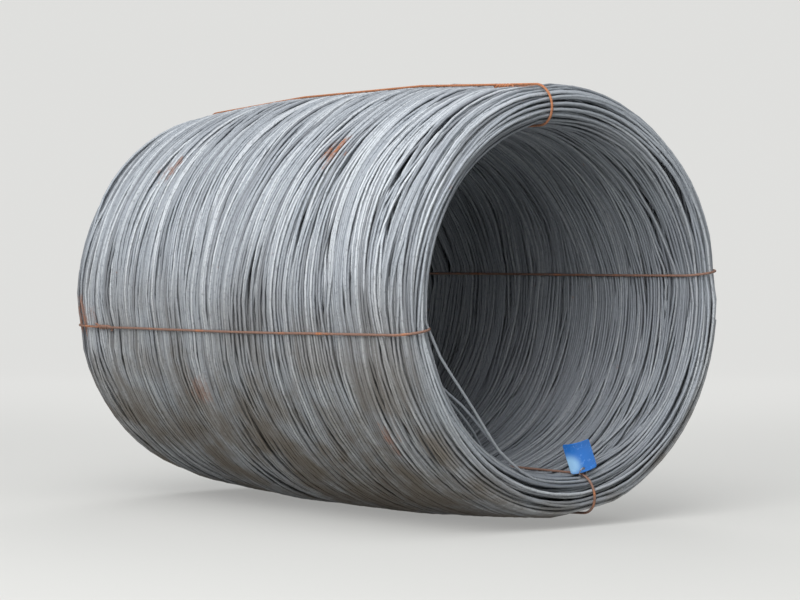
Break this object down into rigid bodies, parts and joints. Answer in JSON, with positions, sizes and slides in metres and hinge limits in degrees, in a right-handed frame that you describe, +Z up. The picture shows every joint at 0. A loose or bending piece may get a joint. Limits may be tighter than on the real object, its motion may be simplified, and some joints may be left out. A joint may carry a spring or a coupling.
{
  "type": "wire rod coil",
  "caption": "Coil of hot-rolled steel wire rod lying on its side, bound by twisted tie wires, with a blank blue tag in its mouth.",
  "frame": {"origin": "on the floor, below the middle of the coil", "axes": "+X along the coil's axis, towards the mouth that holds the tag, +Z up"},
  "size_m": [1.65, 1.2498, 1.2498],
  "materials": {
    "rod_steel": "hot-rolled mill scale, semi-gloss, with patches of rust",
    "tie_steel": "rusted, matt",
    "tag_ring_steel": "bare wire",
    "tag_plastic": "gloss"
  },
  "bodies": {
    "root": {"rod_coil": "rod_steel", "tie_wire_right": "tie_steel", "tie_wire_top": "tie_steel", "tie_wire_left": "tie_steel", "tie_wire_bottom": "tie_steel", "tag_ring": "tag_ring_steel", "tag": "tag_plastic"}
  },
  "joints": []
}
